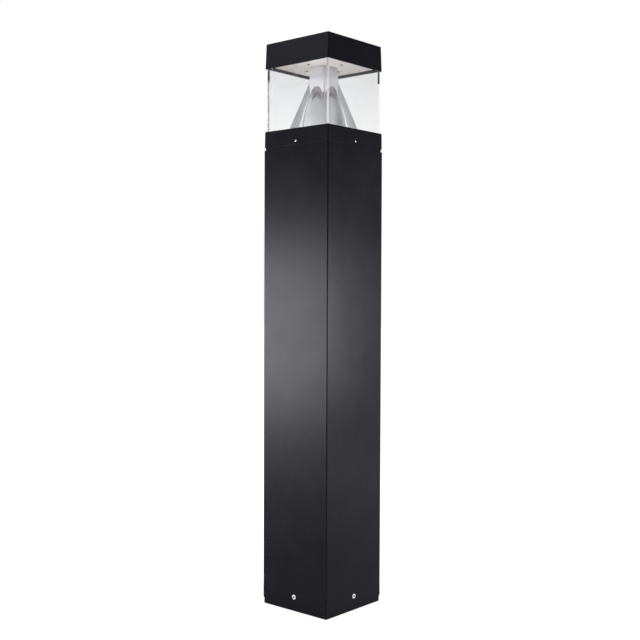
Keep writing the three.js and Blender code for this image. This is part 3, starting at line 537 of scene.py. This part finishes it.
def soften(corners, closed=True):
    """Profile of (reach, z) points from corners of (reach, z, edge radius), each edge rounded."""
    points = []
    for i, (reach, z, radius) in enumerate(corners):
        here = Vector((reach, z))
        if radius == 0 or (not closed and i in (0, len(corners) - 1)):
            points.append((reach, z))
            continue
        before = Vector(corners[i - 1][:2]) - here
        after = Vector(corners[(i + 1) % len(corners)][:2]) - here
        run = radius / math.tan(before.angle(after) / 2)
        run = min(run, LONGEST_RUN * before.length, LONGEST_RUN * after.length)
        start, end = here + before.normalized() * run, here + after.normalized() * run
        for step in range(EDGE_STEPS + 1):
            t = step / EDGE_STEPS
            points.append(tuple(start * (1 - t) ** 2 + here * 2 * t * (1 - t) + end * t ** 2))
    return points


def square_piece(name, corners, half, corner, closed=True):
    """Square body with rounded vertical corners, from the profile of its middle section."""
    rings = []
    for reach, z in soften(corners, closed):
        rings.append(square_ring(reach, max(LEAST_CORNER, corner - (half - reach)), z))
    return skin_rings(name, rings, closed)


def turned_piece(name, corners, steps=ROUND_STEPS, closed=False):
    """Round body about Z. An open profile starts and ends close to the axis."""
    rings = [round_ring(max(reach, AXIS_GAP), z, steps) for reach, z in soften(corners, closed)]
    return skin_rings(name, rings, closed)


def bake_modifiers(piece):
    bpy.context.view_layer.update()
    evaluated = piece.evaluated_get(bpy.context.evaluated_depsgraph_get())
    mesh = bpy.data.meshes.new_from_object(evaluated)
    piece.modifiers.clear()
    piece.data = mesh


def combine(piece, others, operation):
    for other in others:
        modifier = piece.modifiers.new(operation, "BOOLEAN")
        modifier.operation = operation
        modifier.solver = "EXACT"
        modifier.object = other
    bake_modifiers(piece)
    for other in others:
        bpy.data.objects.remove(other)
    tidy_mesh(piece.data)


def even_normals(piece):
    """Keeps the flat faces flat to the eye where they meet rounded edges."""
    modifier = piece.modifiers.new("even_normals", "WEIGHTED_NORMAL")
    modifier.keep_sharp = True
    modifier.weight = 100  # the widest face decides
    return piece


def mark_accent(piece, is_accent):
    """Gives the piece's second material to the faces whose centre passes the test."""
    for polygon in piece.data.polygons:
        if is_accent(polygon.center):
            polygon.material_index = 1


def facing(piece, angle, reach, z):
    """Turns a piece made along +Z to point out of the face at this angle, and moves it there."""
    outwards = Matrix.Rotation(angle, 4, "Z") @ Matrix.Translation((reach, 0, z))
    piece.data.transform(outwards @ Matrix.Rotation(math.pi / 2, 4, "Y"))
    return piece


def moved(piece, x, y):
    piece.data.transform(Matrix.Translation((x, y, 0)))
    return piece


def cylinder(radius, bottom, top, x=0.0, y=0.0, steps=ROUND_STEPS):
    """A cutter for a round hole, or with few steps for a socket."""
    corners = [(0, bottom, 0), (radius, bottom, 0), (radius, top, 0), (0, top, 0)]
    return moved(turned_piece("cutter", corners, steps), x, y)


def cut_socket(screw, half, depth):
    """Hexagon socket in the face of a screw at z = 0, its walls given the screw's dark second finish as
    painted shade.
    """
    corner = half / math.cos(math.pi / HEXAGON)
    combine(screw, [cylinder(corner, -depth, CUT_PAST, steps=HEXAGON)], "DIFFERENCE")
    # Painted shade: the socket's walls take the dark finish.
    mark_accent(screw, lambda centre: centre.xy.length < corner and centre.z < -SOCKET_START)


def fit(piece, body, nodes, slot, material=None, accent=None):
    """Puts a finished piece on its body, in the place of its CAD nodes, with its finish.

    The accent is the finish of the faces that were given the piece's second material."""
    piece.data.materials.append(material or MATERIALS[slot])
    if accent:
        piece.data.materials.append(MATERIALS[accent])
    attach(piece, body)
    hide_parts(*nodes)
    return piece


# ---------- base and shaft ----------
def countersink_cutter(angle):
    radius, shank = BASE_SCREW["radius"] + CUT_GAP, BASE_SCREW["shank"] + CUT_GAP
    corners = [
        (0, -BASE_SCREW["length"], 0),
        (shank, -BASE_SCREW["length"], 0),
        (shank, -BASE_SCREW["depth"], 0),
        (radius, -CUT_GAP, 0),
        (radius, CUT_PAST, 0),
        (0, CUT_PAST, 0),
    ]
    return facing(turned_piece("cutter", corners), angle, high("shaft_tube").x, BASE_SCREW_Z)


def make_anchor_base():
    half, top = high("anchor_base").x, high("anchor_base").z
    height, edge = PLINTH["height"], PLINTH["edge"]
    plinth = square_piece(
        "anchor_base_skin",
        [(LID_REACH, 0, 0), (half, 0, edge), (half, height, edge), (LID_REACH, height, 0)],
        half, PLINTH["corner"], closed=False,
    )
    outer = high("shaft_tube").x - SHAFT["wall"] - BASE_SPIGOT["gap"]
    inner, foot = outer - BASE_SPIGOT["wall"], height - CUT_PAST
    spigot = square_piece(
        "spigot",
        [(inner, foot, 0), (outer, foot, 0), (outer, top, edge), (inner, top, edge)],
        outer, BASE_SPIGOT["corner"],
    )
    combine(plinth, [spigot], "UNION")
    holes = [cylinder(CONDUIT_RADIUS, -CUT_PAST, height + CUT_PAST, steps=BORE_STEPS)]
    for angle in FACES:
        x, y = around(ANCHOR_HOLE["reach"], angle + EIGHTH_TURN)
        holes.append(cylinder(ANCHOR_HOLE["radius"], -CUT_PAST, height + CUT_PAST, x, y))
    combine(plinth, holes, "DIFFERENCE")
    even_normals(plinth)
    fit(plinth, "post", ["anchor_base"], "cast_aluminium", MATERIALS["black_powder_coat"])


def make_shaft():
    half, bottom, top = high("shaft_tube").x, low("shaft_tube").z, high("shaft_tube").z
    inner, edge = half - SHAFT["wall"], SHAFT["edge"]
    shaft = square_piece(
        "shaft_skin",
        [(inner, bottom, edge), (half, bottom, edge), (half, top, edge), (inner, top, edge)],
        half, SHAFT["corner"],
    )
    combine(shaft, [countersink_cutter(angle) for angle in FACES], "DIFFERENCE")
    even_normals(shaft)
    fit(shaft, "post", ["shaft_tube"], "black_powder_coat")


def make_base_screw(number, angle):
    radius, shank, length = BASE_SCREW["radius"], BASE_SCREW["shank"], BASE_SCREW["length"]
    screw = turned_piece("base_screw_skin_" + number, [
        (0, -length, 0),
        (shank, -length, BASE_SCREW_EDGE["tip"]),
        (shank, -BASE_SCREW["depth"], 0),
        (radius, -BASE_SCREW["rim"], BASE_SCREW_EDGE["cone"]),
        (radius, 0, BASE_SCREW_EDGE["face"]),
        (0, 0, 0),
    ])
    cut_socket(screw, **BASE_SOCKET)
    facing(screw, angle, high("shaft_tube").x, BASE_SCREW_Z)
    # The socket's walls are blackened steel as painted shade.
    fit(screw, "post", ["base_screw_" + number], "stainless_steel", accent="blackened_steel")


# ---------- collar ----------
def make_collar():
    bottom_half, bottom, top = high("collar").x, low("collar").z, high("collar").z
    pocket, bore = COLLAR["pocket"], COLLAR["bore"]
    collar = square_piece("collar_skin", [
        (LID_REACH, COLLAR_FLOOR["bottom"], 0),
        (bore, COLLAR_FLOOR["bottom"], 0),
        (bore, bottom, 0),
        (bottom_half, bottom, COLLAR_EDGE["bottom"]),
        (COLLAR["top_half"], top, COLLAR_EDGE["top"]),
        (pocket, top, COLLAR_EDGE["inner"]),
        (pocket, COLLAR_FLOOR["top"], 0),
        (LID_REACH, COLLAR_FLOOR["top"], 0),
    ], bottom_half, COLLAR["corner"], closed=False)
    holes = []
    for angle in FACES:
        hole = cylinder(SET_SCREW["radius"] + CUT_GAP, **SET_SCREW_HOLE)
        holes.append(facing(hole, angle, bottom_half, SET_SCREW["z"]))
    combine(collar, holes, "DIFFERENCE")
    even_normals(collar)
    fit(collar, "head", ["collar"], "black_powder_coat")


def make_set_screw(number, angle):
    node = "collar_set_screw_" + number
    reach = max(abs(value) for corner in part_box(node) for value in corner.xy)
    length, radius, point = reach - COLLAR["bore"], SET_SCREW["radius"], SET_SCREW["point"]
    screw = turned_piece("set_screw_skin_" + number, [
        (0, -length, 0),
        (radius - point, -length, 0),
        (radius, -length + point, SET_SCREW_EDGE["point"]),
        (radius, 0, SET_SCREW_EDGE["face"]),
        (0, 0, 0),
    ])
    cut_socket(screw, **SET_SOCKET)
    facing(screw, angle, reach, SET_SCREW["z"])
    # The socket's walls are blackened steel as painted shade.
    fit(screw, "head", [node], "stainless_steel", accent="blackened_steel")


# ---------- lens ----------
def make_lens():
    half, bottom, top = high("clear_lens").x, low("clear_lens").z, high("clear_lens").z
    inner, edge = half - LENS["wall"], LENS["edge"]
    corners = [(inner, bottom, 0), (half, bottom, edge), (half, top, edge), (inner, top, 0)]
    rings = []
    for reach, z in soften(corners):
        share = (reach - inner) / (half - inner)
        rings.append(square_ring(reach, between(LENS["inner_corner"], LENS["corner"], share), z))
    lens = even_normals(skin_rings("clear_lens_skin", rings, closed=True))
    straight = half - LENS["corner"]
    mark_accent(lens, lambda centre: min(abs(centre.x), abs(centre.y)) > straight)
    fit(lens, "head", ["clear_lens"], "clear_polycarbonate", accent="lens_seam")


# ---------- cap ----------
def make_cap():
    bottom_half, bottom, top = high("top_cap").x, low("top_cap").z, high("top_cap").z
    gasket_top = high("lens_gasket_upper").z
    pocket, cavity = COLLAR["pocket"], CAP["cavity"]
    cap = square_piece("top_cap_skin", [
        (LID_REACH, top - CAP["roof"], 0),
        (cavity, top - CAP["roof"], 0),
        (cavity, gasket_top, 0),
        (pocket, gasket_top, 0),
        (pocket, bottom, CAP_EDGE["inner"]),
        (bottom_half, bottom, CAP_EDGE["bottom"]),
        (CAP["top_half"], top, CAP_EDGE["top"]),
        (LID_REACH, top, 0),
    ], bottom_half, CAP["corner"], closed=False)
    fit(even_normals(cap), "head", ["top_cap"], "black_powder_coat")


# ---------- light engine ----------
def make_cover_plate():
    half, edge = high("led_cover_plate").x, COVER["edge"]
    bottom, top = low("led_cover_plate").z, high("led_cover_plate").z
    inner, roof = half - COVER["rim"], bottom + COVER["plate"]
    cover = square_piece("led_cover_plate_skin", [
        (LID_REACH, bottom, 0),
        (half, bottom, edge),
        (half, top, edge),
        (inner, top, edge),
        (inner, roof, 0),
        (LID_REACH, roof, 0),
    ], half, COVER["corner"], closed=False)
    hole_bottom, hole_top = bottom - CUT_PAST, top + CUT_PAST
    holes = [cylinder(COVER["opening"], hole_bottom, hole_top, steps=BORE_STEPS)]
    for angle in FACES:
        x, y = around(COVER_SCREW["reach"], angle)
        holes.append(cylinder(COVER_SCREW["shank"] + CUT_GAP, hole_bottom, hole_top, x, y))
    combine(cover, holes, "DIFFERENCE")
    fit(even_normals(cover), "head", ["led_cover_plate"], "white_polycarbonate")


def cross_cutters(bottom, top, half, reach):
    """Two crossed blades for the slots in a screw's head."""
    blades, ends = [], [(half, bottom, 0), (half, top, 0)]
    for stretch in ((reach / half, 1, 1, 1), (1, reach / half, 1, 1)):
        blade = square_piece("blade", ends, half, half * BLADE_CORNER, closed=False)
        blade.data.transform(Matrix.Diagonal(stretch))
        blades.append(blade)
    return blades


def make_cover_screw(number, angle):
    node = "cover_screw_" + number
    seat, top = low("led_cover_plate").z, high(node).z
    radius, shank, face = COVER_SCREW["radius"], COVER_SCREW["shank"], seat - COVER_SCREW["head"]
    screw = turned_piece("cover_screw_skin_" + number, [
        (0, face, 0),
        (radius * COVER_SCREW_CROWN, face, COVER_SCREW_EDGE["crown"]),
        (radius, seat - COVER_SCREW_RIM, COVER_SCREW_EDGE["rim"]),
        (radius, seat, 0),
        (shank, seat, 0),
        (shank, top, COVER_SCREW_EDGE["tip"]),
        (0, top, 0),
    ])
    slot_reach, slot_floor = radius * COVER_SLOT["reach"], seat - COVER_SLOT["floor"]
    blades = cross_cutters(face - CUT_PAST, slot_floor, COVER_SLOT["half"], slot_reach)
    combine(screw, blades, "DIFFERENCE")
    moved(screw, *around(COVER_SCREW["reach"], angle))
    fit(screw, "head", [node], "stainless_steel", MATERIALS["blackened_steel"])


# ---------- post, cone and fins ----------
def make_post():
    """Square tube whose corners get rounder towards its top."""
    bottom, top, start = low("centre_post").z, high("centre_post").z, POST_TAPER["start"]
    straight = [(POST["half"], POST["corner"], z) for z in (bottom, start)]
    taper = []
    for i in range(1, POST_TAPER["levels"] + 1):
        t = i / POST_TAPER["levels"]
        half = between(POST["half"], POST["top_half"], t * t)
        taper.append((half, between(POST["corner"], POST["top_corner"], t), between(start, top, t)))
    rings = [square_ring(*level, POST_CORNER_STEPS) for level in straight + taper]
    post = skin_rings("centre_post_skin", rings, closed=False, sharp_angle=POST_SHARP_ANGLE)
    # The post's metal darkens towards its top as painted shade.
    post_metal_painted_shade = MATERIALS["satin_aluminium_painted_shade"]
    fit(even_normals(post), "head", ["centre_post"], "mirror_aluminium", post_metal_painted_shade)


def cone_radius(z):
    """A curve that leaves the post at the cone's slope and ends at its foot."""
    drop = CONE["apex_z"] - z
    height = CONE["apex_z"] - COLLAR_FLOOR["top"]
    bend = (CONE["foot"] - POST["half"] - CONE["slope"] * height) / height ** 2
    return POST["half"] + CONE["slope"] * drop + bend * drop ** 2


def make_cone():
    foot, top = COLLAR_FLOOR["top"], CONE["apex_z"] - CONE_TOP_CUT
    flange, edge, wall = high("reflector_cone").x, CONE_FLANGE["edge"], CONE["wall"]
    heights = [between(CONE_SEAT, top, i / CONE["levels"]) for i in range(CONE["levels"] + 1)]
    profile = [(cone_radius(foot) - wall, foot, 0)]
    profile += [(flange, foot, edge), (flange, CONE_SEAT, edge)]
    profile += [(cone_radius(z), z, 0) for z in heights]
    profile += [(cone_radius(z) - wall, z, 0) for z in reversed(heights)]
    cone = turned_piece("reflector_cone_skin", profile, CONE_STEPS, closed=True)
    half = POST["half"]
    core_ends = [(half, foot - CUT_PAST, 0), (half, top + CONE_CORE_PAST, 0)]
    core = square_piece("core", core_ends, half, POST["corner"], closed=False)
    combine(cone, [core], "DIFFERENCE")
    # The cone's metal darkens towards its top as painted shade.
    fit(cone, "head", ["reflector_cone"], "mirror_aluminium", MATERIALS["rolled_aluminium_painted_shade"])


def fin_section(z):
    """Outline of a fin at one height: thin outside, thicker inwards, with a slit beside the cone."""
    tip, lean, slit_top = FIN["tip"], FIN_ROOT["lean"], FIN_ROOT["slit_top"]
    post_edge = POST["half"] * math.sqrt(2) - POST["corner"] * (math.sqrt(2) - 1)
    slit = FIN_ROOT["slit"] * max(0, (slit_top - z) / (slit_top - CONE_SEAT))
    root = max(post_edge, cone_radius(z) + slit if z < CONE["apex_z"] else 0)
    rise = (z - CONE_SEAT) / (FIN["top"] - CONE_SEAT)
    reach = between(FIN["foot_reach"], post_edge + tip, rise)
    side = []
    for i in range(FIN["steps"] + 1):
        t = i / FIN["steps"]
        side.append((between(root, reach, t), tip + lean * (reach - root) * (1 - t) ** 2))
    return [(x, y, z) for x, y in side] + [(x, -y, z) for x, y in reversed(side)]


def make_fin(number, angle):
    levels = range(FIN["levels"] + 1)
    sections = [fin_section(between(CONE_SEAT, FIN["top"], i / FIN["levels"])) for i in levels]
    fin = skin_rings("reflector_fin_skin_" + number, sections, closed=False)
    fin.data.transform(Matrix.Rotation(angle, 4, "Z"))
    fit(even_normals(fin), "head", ["reflector_fin_" + number], "mirror_aluminium")


def make_cone_screw(number, angle):
    node = "cone_screw_" + number
    bottom, face = low(node).z, CONE_SEAT + CONE_SCREW["head"]
    radius, shank = CONE_SCREW["radius"], CONE_SCREW["shank"]
    screw = turned_piece("cone_screw_skin_" + number, [
        (0, bottom, 0),
        (shank, bottom, CONE_SCREW_EDGE["tip"]),
        (shank, CONE_SEAT, 0),
        (radius, CONE_SEAT, CONE_SCREW_EDGE["rim"]),
        (radius * CONE_SCREW_CROWN, face, CONE_SCREW_EDGE["crown"]),
        (0, face, 0),
    ])
    floor, top = CONE_SEAT + CONE_SOCKET["floor"], CONE_SEAT + CONE_SOCKET["top"]
    socket = cylinder(CONE_SOCKET["radius"], floor, top, steps=HEXAGON)
    combine(screw, [socket], "DIFFERENCE")
    moved(screw, *around(CONE_SCREW["reach"], angle))
    fit(screw, "head", [node], "stainless_steel")


make_anchor_base()
make_shaft()
make_collar()
make_lens()
make_cap()
make_cover_plate()
make_post()
make_cone()
for index, face_angle in enumerate(FACES, start=1):
    make_base_screw(str(index), face_angle)
    make_set_screw(str(index), face_angle)
    make_cover_screw(str(index), face_angle)
    make_cone_screw(str(index), face_angle)
    make_fin(str(index), face_angle + EIGHTH_TURN)


# ---------- CAD nodes that stay ----------
def finish_cad_nodes():
    """Gives every CAD node that still shows its own finish and slightly broken edges."""
    slots = {entry["node"]: entry["material_slot"] for entry in frame["record"]["subparts"]}
    for name, node in frame["nodes"].items():
        if node.hide_render:
            continue
        for material_slot in node.material_slots:
            material_slot.material = MATERIALS[slots[name]]
        edge = node.modifiers.new("broken_edges", "BEVEL")
        edge.width = BROKEN_EDGE["width"]
        edge.segments = BROKEN_EDGE["segments"]
        edge.limit_method = "ANGLE"
        edge.angle_limit = math.radians(BROKEN_EDGE["least_angle"])


finish_cad_nodes()


# ---------- studio ----------
def make_floor():
    half = FLOOR["half"]
    corners = [(-half, -half, 0), (half, -half, 0), (half, half, 0), (-half, half, 0)]
    floor = new_piece("floor", corners, [(0, 1, 2, 3)])
    material, tree, shader = new_material("studio_floor")
    clouds = noise(tree, place(tree), *FLOOR_CLOUDS)
    colour = blend_colours(tree, spread(tree, clouds), FLOOR["dark"], FLOOR["light"])
    connect(tree, shader, Base_Color=colour)
    shader.inputs["Roughness"].default_value = FLOOR_ROUGHNESS
    shader.inputs["Specular IOR Level"].default_value = FLOOR_SPECULAR
    shader.inputs["Emission Color"].default_value = (1, 1, 1, 1)
    shader.inputs["Emission Strength"].default_value = FLOOR_GLOW
    floor.data.materials.append(material)


def likeness(tree, direction, target):
    """1 where a direction points the same way as the target, 0 at right angles to it."""
    node = add_node(tree, "ShaderNodeVectorMath", links={0: direction}, operation="DOT_PRODUCT")
    node.inputs[1].default_value = target
    return node.outputs["Value"]


def loss(tree, direction, up, side):
    """How much light is missing towards one side, a share of it that changes with height."""
    alike = likeness(tree, direction, side["towards"])
    missing = spread(tree, alike, side["loss"], side["likeness"])
    return arithmetic(tree, "MULTIPLY", missing, spread(tree, up, side["share"], side["up"]))


def make_world():
    """White backdrop. What the object reflects is greyer overhead and towards two sides."""
    world = bpy.data.worlds.new("studio")
    world.use_nodes = True
    tree = world.node_tree
    direction = add_node(tree, "ShaderNodeTexCoord").outputs["Generated"]
    up = upwards(tree, direction)
    overhead = spread(tree, up, OVERHEAD["strength"], OVERHEAD["up"])
    dark, dim, flag = [loss(tree, direction, up, side) for side in (DARK_SIDE, DIM_SIDE, FLAG)]
    flag = arithmetic(tree, "MULTIPLY", flag, spread(tree, up, FLAG_END["share"], FLAG_END["up"]))
    missing = arithmetic(tree, "ADD", arithmetic(tree, "ADD", dark, dim), flag)
    reflected = arithmetic(tree, "SUBTRACT", overhead, missing)
    path = add_node(tree, "ShaderNodeLightPath").outputs
    bounced = arithmetic(tree, "ADD", path["Glossy Depth"], path["Diffuse Depth"])
    seen = arithmetic(tree, "LESS_THAN", bounced, FIRST_BOUNCE)
    background = tree.nodes["Background"]
    background.inputs["Color"].default_value = (1, 1, 1, 1)
    tree.links.new(arithmetic(tree, "MAXIMUM", reflected, seen), background.inputs["Strength"])
    bpy.context.scene.world = world


def make_light(name, at, aim, size, power, lit=()):
    """A soft box that points at a height on the axis. Where lit names pieces, it lights only those."""
    data = bpy.data.lights.new(name, "AREA")
    data.shape = "RECTANGLE"
    data.size, data.size_y = size
    data.energy = power
    light = bpy.data.objects.new(name, data)
    light.location = at
    light.rotation_mode = "QUATERNION"
    light.rotation_quaternion = (Vector((0, 0, aim)) - Vector(at)).to_track_quat("-Z", "Y")
    bpy.context.scene.collection.objects.link(light)
    if lit:
        light.light_linking.receiver_collection = bpy.data.collections.new(name + "_lit")
    for piece in lit:
        light.light_linking.receiver_collection.objects.link(bpy.data.objects[piece])


make_floor()
make_world()
for softbox in SOFTBOXES:
    make_light(**softbox)
bpy.context.scene.view_settings.view_transform = "Standard"
bpy.context.scene.cycles.max_bounces = BOUNCES
bpy.context.scene.cycles.glossy_bounces = BOUNCES
bpy.context.scene.cycles.transmission_bounces = BOUNCES
